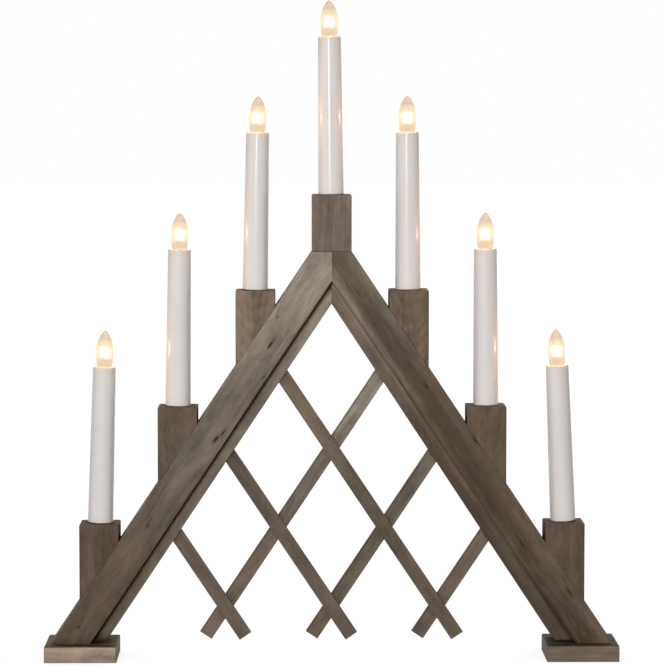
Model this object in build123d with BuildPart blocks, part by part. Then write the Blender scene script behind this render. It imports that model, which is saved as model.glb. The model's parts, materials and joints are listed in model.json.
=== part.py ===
# Candle arch with seven electric candles.
# Two square feet carry an A of laminated rafters. Seven square blocks stand on the outer slopes and on the
# flat-cut peak, each with a white candle tube, a small screw lampholder and a flame-shaped bulb. Six thin
# strips make a lattice between the rafters. The wiring runs in a groove closed between the two boards of
# each rafter.
# Millimetres, +Z up, the front towards -Y. The origin is on the ground, midway between the feet. The front
# and rear boards of the rafters meet on the plane Y = 0.
from build123d import *
from math import asin, copysign, cos, radians, sin, tan
import os

os.makedirs("parts", exist_ok=True)

# Feet
foot_spacing = 431.0
foot_length = 62.0
foot_depth = 62.0
foot_height = 14.0
foot_round = 1.2

# Rafters: a narrow front board glued to a wider rear board, both flush along the outer slope. The right-hand
# boards are a little out of true: at the foot the front one is narrower and the rear one wider
rafter_angle = 56.31
toe_setback = 4.8
front_board_width = 28.2
right_front_foot_width = 25.9
front_board_thickness = 17.0
rear_board_width = 39.3
right_rear_foot_width = 40.9
rear_board_thickness = 17.0
board_round = 0.9

# Candle blocks: one on the peak and three down each slope
block_width = 34.0
block_outer_height = 66.2
low_block_setback = 42.5
top_block_height = 48.4
block_round = 1.3

# Lattice strips: those from the left rafter cross in front of those from the right one
strip_width = 12.0
strip_thickness = 5.0
strip_round = 0.5
lattice_pitch_share = 1.3825
lattice_bottom = 42.5
lattice_setback = 5.5
strip_tail = 31.0
housing_depth = 6.0

# Brads through the crossings, driven from behind
pin_radius = 0.6
pin_length = 8.0
pin_head_radius = 1.3
pin_head_thickness = 0.5
pin_clearance = 0.03

# Dowels between the blocks and the rafters
dowel_radius = 3.0
dowel_length = 24.0
dowel_clearance = 0.05
dowel_end_gap = 0.5
top_dowel_offset = 9.0

# Countersunk screws up through the feet, one into each board
screw_radius = 2.0
screw_head_radius = 3.9
screw_length = 32.0
screw_setback = 24.0
screw_clearance = 0.05
screw_recess = 0.6
screw_slot_width = 0.9
screw_slot_depth = 0.8
countersink_angle = 90.0

# Wiring groove, the holes up to the candles and the outlet for the cord
channel_width = 6.0
channel_inset = 14.0
lead_hole_radius = 3.5
loom_radius = 1.6
loom_bend = 4.0
loom_end = 3.0
lead_radius = 1.1
lead_end_gap = 0.15
outlet_height = 40.0
grommet_radius = 5.0
grommet_bore_radius = 2.8
grommet_length = 12.0
grommet_flange_radius = 7.5
grommet_flange_thickness = 2.0
grommet_round = 0.8

# Candle tubes, each with a spigot in its block and a moulded lampholder under its mouth
tube_height = 134.6
tube_foot_radius = 10.95
tube_top_radius = 9.8
tube_wall = 1.5
tube_foot_round = 0.9
tube_rim_round = 1.2
spigot_radius = 7.9
spigot_length = 12.0
spigot_wall = 1.6
spigot_clearance = 0.7
spigot_end_gap = 0.8
holder_drop = 5.0
holder_web = 1.5
holder_wall = 1.6
holder_floor = 1.8
contact_pocket_radius = 3.6
contact_pocket_depth = 2.0
lead_bore_radius = 1.5
seat_clearance = 0.02

# The arch is put together by hand, so its candles aren't quite even. Each block sits a little towards +X or,
# where the value is negative, towards -X
block_slides = {
    "left_low": -0.4,
    "left_mid": 0.8,
    "left_high": 1.2,
    "centre": 0.0,
    "right_high": -0.4,
    "right_mid": -0.1,
    "right_low": 1.1,
}

# How much taller or shorter each block is cut
block_rises = {
    "left_low": -0.6,
    "left_mid": -1.0,
    "left_high": -1.5,
    "centre": 0.3,
    "right_high": 0.1,
    "right_mid": 0.5,
    "right_low": 1.2,
}

# Place of each tube in its loose socket, towards +X
tube_slides = {
    "left_low": 0.4,
    "left_mid": 0.0,
    "left_high": -0.3,
    "centre": -0.5,
    "right_high": -0.5,
    "right_mid": 0.0,
    "right_low": -0.5,
}

# Lean of each tube in degrees, positive when its top is to the right
tube_lean_angles = {
    "left_low": 1.74,
    "left_mid": 0.75,
    "left_high": 0.99,
    "centre": -0.54,
    "right_high": -0.29,
    "right_mid": -0.3,
    "right_low": -2.43,
}

# Lampholder and bulb cap for the small screw base, with plain cylinders at the threads' outer size
cap_radius = 4.75
thread_clearance = 0.08
shell_wall = 0.42
shell_length = 9.6
shell_clearance = 0.03
cap_length = 9.4
cap_flange_radius = 5.3
cap_flange_thickness = 1.0
cap_gap = 0.3
cap_taper_length = 1.2
cap_taper_radius = 2.7
contact_radius = 2.0
contact_head = 1.0
contact_stem_radius = 1.0
contact_stem_length = 1.8
contact_gap = 0.1
tab_radius = 2.3
tab_dome = 0.4

# Bulb: a clear flame-shaped envelope with its stem, and a hairpin filament on two leads and a support
bulb_radius = 7.75
bulb_height = 31.0
bulb_neck_radius = 4.6
glass_wall = 0.6
stem_foot_radius = 2.8
stem_top_radius = 1.3
stem_height = 4.0
stem_base = 1.6
wire_radius = 0.3
support_radius = 0.2
filament_radius = 0.45
wire_spacing = 1.5
wire_rise = 1.4
filament_span = 5.2
filament_foot = 9.0
filament_peak = 16.0
# Radius and height of points up the flame, as shares of the bulb's radius and height
flame_foot_share = (0.83, 0.0)
flame_swell_share = (0.952, 0.19)
flame_belly_share = (1.0, 0.4)
flame_upper_share = (0.85, 0.66)
flame_shoulder_share = (0.49, 0.87)
flame_taper_share = (0.27, 0.945)
flame_nib_share = (0.1, 0.985)
flame_top_share = (0.0, 1.0)

# One length that carries every cut past the face it starts from
overrun = 2.0

SIDES = {"left": -1, "right": 1}
STATIONS = {"high": 1, "mid": 2, "low": 3}

angle = radians(rafter_angle)
slope = tan(angle)
toe_x = (foot_spacing + foot_length) / 2 - toe_setback
apex_z = foot_height + toe_x * slope
block_pitch = (toe_x - low_block_setback) / STATIONS["low"]
lattice_pitch = lattice_pitch_share * block_pitch
arch_depth = front_board_thickness + rear_board_thickness
holder_top = tube_height - holder_drop
shell_radius = cap_radius + thread_clearance + shell_wall
pocket_radius = shell_radius + shell_clearance
contact_floor = holder_top - shell_length - contact_pocket_depth
holder_bottom = contact_floor - holder_floor


def edge_z(x, inset=0):
    """Height of the line parallel to the outer slope, inset inwards, at a distance from the centre."""
    return apex_z - abs(x) * slope - inset / cos(angle)


def edge_x(z, inset=0):
    """Distance from the centre of the line parallel to the outer slope, inset inwards, at a height."""
    return (apex_z - inset / cos(angle) - z) / slope


def slope_normal(side):
    """Unit vector square to the outer slope, pointing out and up."""
    return Vector(side * sin(angle), 0, cos(angle))


flat_z = edge_z(block_width / 2)
outlet_x = edge_x(outlet_height, channel_inset)
screw_x = toe_x - screw_setback


def candle_places():
    """Name, side and station of the seven candles, from the left foot over the peak to the right foot."""
    places = [(f"left_{name}", -1, STATIONS[name]) for name in ("low", "mid", "high")]
    places.append(("centre", 1, 0))
    places += [(f"right_{name}", 1, STATIONS[name]) for name in ("high", "mid", "low")]
    return places


def block_x(name, side, station):
    """X of a block's middle, with its slide."""
    return side * station * block_pitch + block_slides[name]


def block_top(name, side, station):
    """Height of a block's top face."""
    if station == 0:
        return flat_z + top_block_height + block_rises[name]
    outer_x = abs(block_x(name, side, station)) + block_width / 2
    return edge_z(outer_x) + block_outer_height + block_rises[name]


def seat_plane(name, side, station):
    """Plane at a candle's foot, its Z along the candle, lifted so that a leaning foot clears the block."""
    lean = radians(tube_lean_angles[name])
    lift = (tube_foot_radius - tube_foot_round) * abs(sin(lean)) + seat_clearance
    return Plane(
        origin=(block_x(name, side, station) + tube_slides[name], 0, block_top(name, side, station) + lift),
        x_dir=(cos(lean), 0, -sin(lean)),
        z_dir=(sin(lean), 0, cos(lean)),
    )


def profile_plane(seat):
    """Plane through a candle's axis: X is the radius and Y the height above its foot."""
    return Plane(origin=seat.origin, x_dir=seat.x_dir, z_dir=-seat.y_dir)


def candle_axis(seat):
    return Axis(seat.origin, seat.z_dir)


def screw_places(side):
    """The two screws of a foot: one under the front board and one under the rear board."""
    return [(side * screw_x, -front_board_thickness / 2), (side * screw_x, rear_board_thickness / 2)]


def dowel_planes(name, side, station):
    """Planes centred on a block's dowels, their Z along the dowel."""
    if station == 0:
        return [
            Plane(origin=(-top_dowel_offset, -front_board_thickness / 2, flat_z)),
            Plane(origin=(top_dowel_offset, rear_board_thickness / 2, flat_z)),
        ]
    x = block_x(name, side, station)
    return [
        Plane(origin=(x, y, edge_z(x)), z_dir=slope_normal(side))
        for y in (-front_board_thickness / 2, rear_board_thickness / 2)
    ]


def strip_ends(side, row):
    """Upper and lower end of a lattice strip's centre line; row 0 is the longest of its side."""
    reach = (row - 1) * lattice_pitch
    run = (edge_z(0, rear_board_width) - lattice_bottom - slope * reach) / (2 * slope)
    top_run = run + housing_depth * cos(angle)
    tail_run = strip_tail * cos(angle)
    upper = (side * (reach + top_run), lattice_bottom + top_run * slope)
    lower = (side * (reach - tail_run), lattice_bottom - tail_run * slope)
    return upper, lower


def strip_front(side):
    """Y of a strip's front face: the left rafter's strips lie in front."""
    return lattice_setback + (0 if side < 0 else strip_thickness)


def strip_profile(side, row):
    """A strip's rectangle, drawn on the XZ plane where the caller's sketch is."""
    upper, lower = strip_ends(side, row)
    length = (upper[1] - lower[1]) / sin(angle)
    middle = ((upper[0] + lower[0]) / 2, (upper[1] + lower[1]) / 2)
    with Locations(middle):
        Rectangle(length, strip_width, rotation=side * rafter_angle)


def crossing_points():
    """Where the strips cross, as X and Z."""
    return [
        ((place - (2 - row) / 2) * lattice_pitch, lattice_bottom + row * slope * lattice_pitch / 2)
        for row in range(3)
        for place in range(3 - row)
    ]


def cut_rod(plane, radius, length, align=Align.CENTER):
    """Take a round hole out of the part being built."""
    with Locations(plane):
        Cylinder(radius, length, align=(Align.CENTER, Align.CENTER, align), mode=Mode.SUBTRACT)


def add_rod(start, end, radius):
    """Add a round rod from one point to another to the part being built."""
    line = Vector(*end) - Vector(*start)
    with Locations(Plane(origin=start, z_dir=line)):
        Cylinder(radius, line.length, align=(Align.CENTER, Align.CENTER, Align.MIN))


def cut_rafter_holes(side):
    """Wiring groove, lead holes, dowel holes and screw holes that a rafter's boards share."""
    near = channel_inset - channel_width / 2
    far = channel_inset + channel_width / 2
    foot_end = outlet_height - channel_width
    with BuildSketch(Plane.XZ) as groove:
        with BuildLine():
            Polyline(
                (side * edge_x(foot_end, near), foot_end),
                (0, edge_z(0, near)),
                (0, edge_z(0, far)),
                (side * edge_x(foot_end, far), foot_end),
                close=True,
            )
        make_face()
    extrude(groove.sketch, amount=channel_width / 2, both=True, mode=Mode.SUBTRACT)
    drop = channel_inset / cos(angle) + lead_hole_radius * slope + overrun
    for name, block_side, station in candle_places():
        if station > 0 and block_side != side:
            continue
        x = block_x(name, block_side, station)
        cut_rod(Plane(origin=(x, 0, edge_z(x, channel_inset))), lead_hole_radius, drop, Align.MIN)
        for dowel in dowel_planes(name, block_side, station):
            cut_rod(dowel, dowel_radius + dowel_clearance, dowel_length + 2 * dowel_end_gap)
    for x, y in screw_places(side):
        place = Plane(origin=(x, y, foot_height - overrun))
        depth = screw_length + screw_recess + screw_clearance - foot_height + overrun
        cut_rod(place, screw_radius + screw_clearance, depth, Align.MIN)


def rafter_board(side, width, foot_width, back, thickness):
    """A rafter's board: mitred at the peak, flat-cut under the top block and square on the foot."""
    with BuildPart() as board:
        with BuildSketch(Plane.XZ.offset(-back)):
            with BuildLine():
                Polyline(
                    (side * toe_x, foot_height),
                    (side * block_width / 2, flat_z),
                    (0, flat_z),
                    (0, edge_z(0, width)),
                    (side * edge_x(foot_height, foot_width), foot_height),
                    close=True,
                )
            make_face()
        extrude(amount=thickness)
        long_edges = board.edges().filter_by(lambda edge: edge.length > apex_z / 2)
        front_edges = long_edges.group_by(Axis.Y)[0]
        if back > 0:
            fillet(long_edges.group_by(Axis.Y)[-1] + front_edges.sort_by(Axis.Z)[:1], board_round)
        else:
            fillet(front_edges, board_round)
        cut_rafter_holes(side)
        if back > 0:
            for row in range(3):
                with BuildSketch(Plane.XZ.offset(-strip_front(side) - strip_thickness)):
                    strip_profile(side, row)
                extrude(amount=strip_thickness, mode=Mode.SUBTRACT)
            if side > 0:
                outlet = Plane(origin=(outlet_x, 0, outlet_height), z_dir=(0, 1, 0))
                cut_rod(outlet, grommet_radius, rear_board_thickness + overrun, Align.MIN)
    return board.part


def dome(radius, base, height):
    """Arc of a round cap that stands on a rim, or hangs from it where the height is negative."""
    sphere = (radius**2 + height**2) / (2 * abs(height))
    half = asin(radius / sphere) / 2
    middle = base + height - copysign(sphere * (1 - cos(half)), height)
    ThreePointArc((radius, base), (sphere * sin(half), middle), (0, base + height))


def save(part, name):
    part.label = name
    export_step(part, f"parts/{name}.step")


# Feet
for name, side in SIDES.items():
    with BuildPart() as foot:
        with BuildSketch():
            with Locations((side * foot_spacing / 2, 0)):
                Rectangle(foot_length, foot_depth)
        extrude(amount=foot_height)
        fillet(foot.edges().filter_by(Axis.Z) + foot.faces().sort_by(Axis.Z)[-1].edges(), foot_round)
        for x, y in screw_places(side):
            with Locations(Plane(origin=(x, y, 0), z_dir=(0, 0, -1))):
                CounterSinkHole(
                    screw_radius + screw_clearance,
                    screw_head_radius + screw_recess + screw_clearance,
                    counter_sink_angle=countersink_angle,
                )
    save(foot.part, f"{name}_foot")

# Rafters
for name, side in SIDES.items():
    front_foot_width = right_front_foot_width if side > 0 else front_board_width
    rear_foot_width = right_rear_foot_width if side > 0 else rear_board_width
    front = rafter_board(side, front_board_width, front_foot_width, 0, front_board_thickness)
    save(front, f"{name}_front_rafter")
    rear = rafter_board(side, rear_board_width, rear_foot_width, rear_board_thickness, rear_board_thickness)
    save(rear, f"{name}_rear_rafter")

# Candle blocks
for name, side, station in candle_places():
    centre_x = block_x(name, side, station)
    top = block_top(name, side, station)
    with BuildPart() as block:
        with BuildSketch(Plane.XZ.offset(-rear_board_thickness)):
            with BuildLine():
                left = centre_x - block_width / 2
                right = centre_x + block_width / 2
                Polyline(
                    (left, edge_z(left)),
                    (left, top),
                    (right, top),
                    (right, edge_z(right)),
                    close=True,
                )
            make_face()
        extrude(amount=arch_depth)
        fillet(block.edges().filter_by(Axis.Z) + block.faces().sort_by(Axis.Z)[-1].edges(), block_round)
        socket_depth = spigot_length + spigot_end_gap
        socket = Plane(origin=(centre_x, 0, top - socket_depth))
        cut_rod(socket, spigot_radius + spigot_clearance, socket_depth + overrun, Align.MIN)
        lead_foot = edge_z(centre_x, channel_inset) - overrun
        cut_rod(Plane(origin=(centre_x, 0, lead_foot)), lead_hole_radius, top - lead_foot, Align.MIN)
        for dowel in dowel_planes(name, side, station):
            cut_rod(dowel, dowel_radius + dowel_clearance, dowel_length + 2 * dowel_end_gap)
    save(block.part, f"candle_block_{name}")

# Lattice strips
for name, side in SIDES.items():
    for row, rank in enumerate(("long", "middle", "short")):
        with BuildPart() as strip:
            with BuildSketch(Plane.XZ.offset(-strip_front(side) - strip_thickness)):
                strip_profile(side, row)
            extrude(amount=strip_thickness)
            long_way = Axis((0, 0, 0), (cos(angle), 0, side * sin(angle)))
            fillet(strip.edges().filter_by(long_way), strip_round)
            for x, z in crossing_points():
                hole = Plane(origin=(x, strip_front(1) + strip_thickness, z), z_dir=(0, -1, 0))
                cut_rod(hole, pin_radius + pin_clearance, pin_length + pin_clearance, Align.MIN)
        save(strip.part, f"lattice_strip_{name}_{rank}")

# Brads at the crossings
with BuildPart() as lattice_pins:
    for x, z in crossing_points():
        back = strip_front(1) + strip_thickness
        add_rod((x, back + pin_head_thickness, z), (x, back, z), pin_head_radius)
        add_rod((x, back, z), (x, back - pin_length, z), pin_radius)
save(lattice_pins.part, "lattice_pins")

# Dowels under the blocks
with BuildPart() as block_dowels:
    for name, side, station in candle_places():
        for dowel in dowel_planes(name, side, station):
            with Locations(dowel):
                Cylinder(dowel_radius, dowel_length)
save(block_dowels.part, "block_dowels")

# Screws up through the feet, each with a straight slot
with BuildPart() as foot_screws:
    head_height = screw_head_radius - screw_radius
    for side in SIDES.values():
        for x, y in screw_places(side):
            with BuildSketch(Plane(origin=(x, y, screw_recess), x_dir=(1, 0, 0), z_dir=(0, -1, 0))):
                with BuildLine():
                    Polyline(
                        (0, 0),
                        (screw_head_radius, 0),
                        (screw_radius, head_height),
                        (screw_radius, screw_length - 2 * screw_radius),
                        (0, screw_length),
                        close=True,
                    )
                make_face()
            revolve(axis=Axis((x, y, 0), (0, 0, 1)))
            with Locations((x, y, screw_recess + screw_slot_depth / 2)):
                Box(2 * screw_head_radius, screw_slot_width, screw_slot_depth, mode=Mode.SUBTRACT)
save(foot_screws.part, "foot_screws")

# Candle tubes: outer taper, spigot, and the lampholder hung from a web under the mouth
for name, side, station in candle_places():
    seat = seat_plane(name, side, station)
    wall_radius = tube_foot_radius - tube_wall
    taper = (tube_foot_radius - tube_top_radius) / tube_height
    web_bottom = holder_top - holder_web
    with BuildPart() as tube:
        with BuildSketch(profile_plane(seat)) as section:
            with BuildLine():
                Polyline(
                    (spigot_radius - spigot_wall, -spigot_length),
                    (spigot_radius, -spigot_length),
                    (spigot_radius, 0),
                    (tube_foot_radius, 0),
                    (tube_top_radius, tube_height),
                    (tube_top_radius - tube_wall, tube_height),
                    (tube_top_radius - tube_wall, holder_top),
                    (pocket_radius, holder_top),
                    (pocket_radius, holder_top - shell_length),
                    (contact_pocket_radius, holder_top - shell_length),
                    (contact_pocket_radius, contact_floor),
                    (lead_bore_radius, contact_floor),
                    (lead_bore_radius, holder_bottom),
                    (pocket_radius + holder_wall, holder_bottom),
                    (pocket_radius + holder_wall, web_bottom),
                    (wall_radius - taper * web_bottom, web_bottom),
                    (wall_radius - taper * tube_wall, tube_wall),
                    (spigot_radius - spigot_wall, tube_wall),
                    close=True,
                )
            make_face()
            outer = section.vertices().sort_by(Axis.X)[-1:]
            fillet(outer, tube_foot_round)
            rim = section.vertices().group_by(Axis.Y)[-1].sort_by(Axis.X)[-1:]
            fillet(rim, tube_rim_round)
        revolve(axis=candle_axis(seat))
    save(tube.part, f"candle_tube_{name}")

# The brass of the lampholders: a sleeve that takes the cap, and a domed centre contact under it
with BuildPart() as lampholder_contacts:
    for name, side, station in candle_places():
        seat = seat_plane(name, side, station)
        with BuildSketch(profile_plane(seat)):
            with Locations((shell_radius - shell_wall / 2, holder_top - shell_length / 2)):
                Rectangle(shell_wall, shell_length)
        revolve(axis=candle_axis(seat))
        tab_top = holder_top + cap_gap - cap_length - contact_gap - contact_head - contact_gap
        with BuildSketch(profile_plane(seat)):
            with BuildLine():
                Polyline(
                    (0, tab_top),
                    (0, contact_floor),
                    (tab_radius, contact_floor),
                    (tab_radius, tab_top - tab_dome),
                )
                dome(tab_radius, tab_top - tab_dome, tab_dome)
            make_face()
        revolve(axis=candle_axis(seat))
save(lampholder_contacts.part, "lampholder_contacts")

# Bulbs: cap, solder contact, glass envelope and filament
cap_bottom = holder_top + cap_gap - cap_length
cap_top = holder_top + cap_gap + cap_flange_thickness
stem_top = tube_height + stem_height


def flame_point(share, shrink=0):
    """A point up the flame's outline, or up the inside of its wall."""
    return (share[0] * (bulb_radius - shrink), tube_height + share[1] * (bulb_height - shrink))


def flame_outline(shrink=0):
    """The flame from the tube's mouth to its tip, as arcs."""
    foot = flame_point(flame_foot_share, shrink)
    swell = flame_point(flame_swell_share, shrink)
    belly = flame_point(flame_belly_share, shrink)
    upper = flame_point(flame_upper_share, shrink)
    shoulder = flame_point(flame_shoulder_share, shrink)
    taper = flame_point(flame_taper_share, shrink)
    nib = flame_point(flame_nib_share, shrink)
    top = flame_point(flame_top_share, shrink)
    ThreePointArc(foot, swell, belly)
    ThreePointArc(belly, upper, shoulder)
    ThreePointArc(shoulder, taper, nib)
    Line(nib, top)
    return foot, top


for name, side, station in candle_places():
    seat = seat_plane(name, side, station)
    bore_radius = contact_stem_radius + thread_clearance
    bore_top = cap_bottom + contact_stem_length + contact_gap
    with BuildPart() as cap:
        with BuildSketch(profile_plane(seat)):
            with BuildLine():
                Polyline(
                    (bore_radius, cap_bottom),
                    (cap_taper_radius, cap_bottom),
                    (cap_radius, cap_bottom + cap_taper_length),
                    (cap_radius, holder_top + cap_gap),
                    (cap_flange_radius, holder_top + cap_gap),
                    (cap_flange_radius, cap_top),
                    (0, cap_top),
                    (0, bore_top),
                    (bore_radius, bore_top),
                    close=True,
                )
            make_face()
        revolve(axis=candle_axis(seat))
    save(cap.part, f"bulb_cap_{name}")

    head_top = cap_bottom - contact_gap
    head_bottom = head_top - contact_head
    with BuildPart() as contact:
        with BuildSketch(profile_plane(seat)):
            with BuildLine():
                Polyline(
                    (0, head_bottom),
                    (0, cap_bottom + contact_stem_length),
                    (contact_stem_radius, cap_bottom + contact_stem_length),
                    (contact_stem_radius, head_top),
                    (contact_radius, head_top),
                )
                dome(contact_radius, head_top, -contact_head)
            make_face()
        revolve(axis=candle_axis(seat))
    save(contact.part, f"bulb_contact_{name}")

    with BuildPart() as glass:
        with BuildSketch(profile_plane(seat)):
            with BuildLine():
                foot_point, tip_point = flame_outline()
                Polyline(tip_point, (0, cap_top), (bulb_neck_radius, cap_top), foot_point)
            make_face()
        revolve(axis=candle_axis(seat))
        with BuildSketch(profile_plane(seat)):
            with BuildLine():
                foot_point, tip_point = flame_outline(glass_wall)
                Polyline(
                    tip_point,
                    (0, stem_top),
                    (stem_top_radius, stem_top),
                    (stem_foot_radius, cap_top + stem_base),
                    (bulb_neck_radius - glass_wall, cap_top + stem_base),
                    foot_point,
                )
            make_face()
        revolve(axis=candle_axis(seat), mode=Mode.SUBTRACT)
    save(glass.part, f"bulb_glass_{name}")

    with BuildPart() as filament:
        axis_plane = profile_plane(seat)
        peak = axis_plane.from_local_coords((0, tube_height + filament_peak, 0))
        root = axis_plane.from_local_coords((0, stem_top, 0))
        add_rod(root, peak, support_radius)
        for hand in (-1, 1):
            start = axis_plane.from_local_coords((hand * wire_spacing / 2, stem_top, 0))
            bend = axis_plane.from_local_coords((hand * wire_spacing / 2, stem_top + wire_rise, 0))
            tip = axis_plane.from_local_coords((hand * filament_span / 2, tube_height + filament_foot, 0))
            add_rod(start, bend, wire_radius)
            add_rod(bend, tip, wire_radius)
            add_rod(tip, peak, filament_radius)
    save(filament.part, f"bulb_filament_{name}")

# Wiring: one loom through the groove over the peak, with a lead up to each centre contact
with BuildPart() as wiring_loom:
    end_x = STATIONS["low"] * block_pitch + loom_end
    with BuildLine() as route:
        FilletPolyline(
            (end_x, 0, edge_z(end_x, channel_inset)),
            (0, 0, edge_z(0, channel_inset)),
            (-end_x, 0, edge_z(end_x, channel_inset)),
            radius=loom_bend,
        )
    with BuildSketch(Plane(origin=route.line @ 0, z_dir=route.line % 0)):
        Circle(loom_radius)
    sweep()
    for name, side, station in candle_places():
        seat = seat_plane(name, side, station)
        x = block_x(name, side, station)
        sag = loom_bend * (1 / cos(angle) - 1) if station == 0 else 0
        contact_under = seat.origin + seat.z_dir * (contact_floor - lead_end_gap)
        add_rod((x, 0, edge_z(x, channel_inset) - sag), tuple(contact_under), lead_radius)
save(wiring_loom.part, "wiring_loom")

# Grommet in the rear of the right rafter, where the cord leaves
with BuildPart() as cord_grommet:
    outlet = (outlet_x, rear_board_thickness, outlet_height)
    with BuildSketch(Plane(origin=outlet, x_dir=(1, 0, 0), z_dir=(0, 0, 1))):
        with BuildLine():
            Polyline(
                (grommet_bore_radius, -grommet_length),
                (grommet_radius, -grommet_length),
                (grommet_radius, 0),
                (grommet_flange_radius, 0),
                (grommet_flange_radius, grommet_flange_thickness - grommet_round),
                (grommet_flange_radius - grommet_round, grommet_flange_thickness),
                (grommet_bore_radius, grommet_flange_thickness),
                close=True,
            )
        make_face()
    revolve(axis=Axis(outlet, (0, 1, 0)))
save(cord_grommet.part, "cord_grommet")
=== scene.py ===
"""Looks, light and camera of the candle arch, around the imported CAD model. Metres, the front towards -Y."""
import json
from collections import namedtuple
from math import cos, pi, radians, sin, tau

import bpy
from mathutils import Euler, Matrix, Vector


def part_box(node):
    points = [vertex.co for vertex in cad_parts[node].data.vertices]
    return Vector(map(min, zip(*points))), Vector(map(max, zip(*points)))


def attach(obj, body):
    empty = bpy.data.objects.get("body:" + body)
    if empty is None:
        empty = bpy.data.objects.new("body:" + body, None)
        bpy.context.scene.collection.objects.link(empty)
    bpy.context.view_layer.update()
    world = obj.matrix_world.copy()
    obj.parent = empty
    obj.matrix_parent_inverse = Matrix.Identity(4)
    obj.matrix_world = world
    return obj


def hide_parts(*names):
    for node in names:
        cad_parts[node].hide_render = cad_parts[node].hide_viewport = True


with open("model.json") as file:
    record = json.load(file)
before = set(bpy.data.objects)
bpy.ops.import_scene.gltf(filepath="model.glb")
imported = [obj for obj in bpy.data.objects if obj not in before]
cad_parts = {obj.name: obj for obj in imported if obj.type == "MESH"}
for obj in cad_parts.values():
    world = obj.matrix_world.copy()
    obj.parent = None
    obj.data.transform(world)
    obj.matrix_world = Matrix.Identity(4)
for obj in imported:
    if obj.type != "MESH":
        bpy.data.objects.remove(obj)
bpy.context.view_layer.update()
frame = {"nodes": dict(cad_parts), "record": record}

NODES = frame["nodes"]
CANDLES = ("left_low", "left_mid", "left_high", "centre", "right_high", "right_mid", "right_low")

# Slope of the rafters and heights above a candle's foot, as in the CAD
SLOPE = radians(56.31)
TUBE_HEIGHT = 0.1346
HOLDER_TOP = 0.1296
CAP_TOP = 0.1309
CAP_BOTTOM = 0.1205
STEM_TOP = 0.1386

# Camera, fitted to the photo
CAMERA_PLACE = (-0.0327, -2.6066, 0.4791)
CAMERA_TILT = radians(-4.344)
CAMERA_TURN = radians(-0.737)
CAMERA_LENS_MM = 164.73
CAMERA_SENSOR_MM = 36
CAMERA_REACH = 60


def add_object(name, data):
    """A new object in the scene."""
    made = bpy.data.objects.new(name, data)
    bpy.context.collection.objects.link(made)
    return made


camera_data = bpy.data.cameras.new("camera")
camera_data.sensor_width = CAMERA_SENSOR_MM
camera_data.lens = CAMERA_LENS_MM
camera_data.clip_end = CAMERA_REACH
camera = add_object("camera", camera_data)
camera.location = CAMERA_PLACE
camera.rotation_euler = (pi / 2 + CAMERA_TILT, 0, CAMERA_TURN)
bpy.context.scene.camera = camera
bpy.context.scene.view_settings.view_transform = "Standard"


# Node graphs
class Graph:
    """Short ways to add nodes to a tree. A value may be a number, a colour or the output of another node."""

    def __init__(self, tree):
        self.tree = tree

    def put(self, kind, inputs=None, **settings):
        """A new node with its settings and the values of its inputs."""
        node = self.tree.nodes.new(kind)
        for key, value in settings.items():
            setattr(node, key, value)
        for key, value in (inputs or {}).items():
            self.feed(node.inputs[key], value)
        return node

    def feed(self, socket, value):
        """Link or set an input."""
        if isinstance(value, bpy.types.NodeSocket):
            self.tree.links.new(value, socket)
        else:
            socket.default_value = value

    def math(self, operation, *values):
        return self.put("ShaderNodeMath", dict(enumerate(values)), operation=operation).outputs[0]

    def vector(self, operation, *values):
        node = self.put("ShaderNodeVectorMath", dict(enumerate(values)), operation=operation)
        return node.outputs["Value" if operation in ("LENGTH", "DOT_PRODUCT") else "Vector"]

    def scale(self, vector, factor):
        node = self.put("ShaderNodeVectorMath", {0: vector, "Scale": factor}, operation="SCALE")
        return node.outputs["Vector"]

    def noise(self, vector, scale, detail=2.0, roughness=0.5, coloured=False):
        """Noise with one scale for all ways, or with three: along, through and across."""
        if isinstance(scale, tuple):
            vector = self.vector("MULTIPLY", vector, scale)
            scale = 1.0
        inputs = {"Vector": vector, "Scale": scale, "Detail": detail, "Roughness": roughness}
        return self.put("ShaderNodeTexNoise", inputs).outputs[1 if coloured else 0]

    def span(self, value, low, high, to_low=0.0, to_high=1.0):
        """A value brought smoothly from one range to another, held at its ends."""
        inputs = {0: value, 1: low, 2: high, 3: to_low, 4: to_high}
        return self.put("ShaderNodeMapRange", inputs, interpolation_type="SMOOTHSTEP").outputs[0]

    def mix(self, factor, a, b, blend="MIX"):
        node = self.put("ShaderNodeMix", {0: factor, 6: a, 7: b}, data_type="RGBA", blend_type=blend)
        return node.outputs[2]

    def mix_shader(self, factor, a, b):
        return self.put("ShaderNodeMixShader", {0: factor, 1: a, 2: b}).outputs[0]

    def split(self, vector):
        return self.put("ShaderNodeSeparateXYZ", {0: vector}).outputs

    def bump(self, height, strength, distance):
        inputs = {"Height": height, "Strength": strength, "Distance": distance}
        return self.put("ShaderNodeBump", inputs).outputs[0]

    def principled(self, **inputs):
        """A Principled shader. An underscore in a name stands for a space."""
        named = {key.replace("_", " "): value for key, value in inputs.items()}
        return self.put("ShaderNodeBsdfPrincipled", named).outputs[0]

    def coordinates(self, place=(0, 0, 0), turn=(0, 0, 0)):
        """Object coordinates seen from a place and turned, so that X runs along the grain or Z up an axis."""
        where = self.put("ShaderNodeTexCoord").outputs["Object"]
        inputs = {"Vector": where, "Location": place, "Rotation": turn}
        return self.put("ShaderNodeMapping", inputs, vector_type="TEXTURE").outputs[0]

    def surface(self, shader):
        self.put("ShaderNodeOutputMaterial", {"Surface": shader})


def colour(r, g, b):
    """A colour given as its 0 to 255 screen values."""
    return tuple(((v / 255 + 0.055) / 1.055) ** 2.4 for v in (r, g, b)) + (1.0,)


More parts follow.
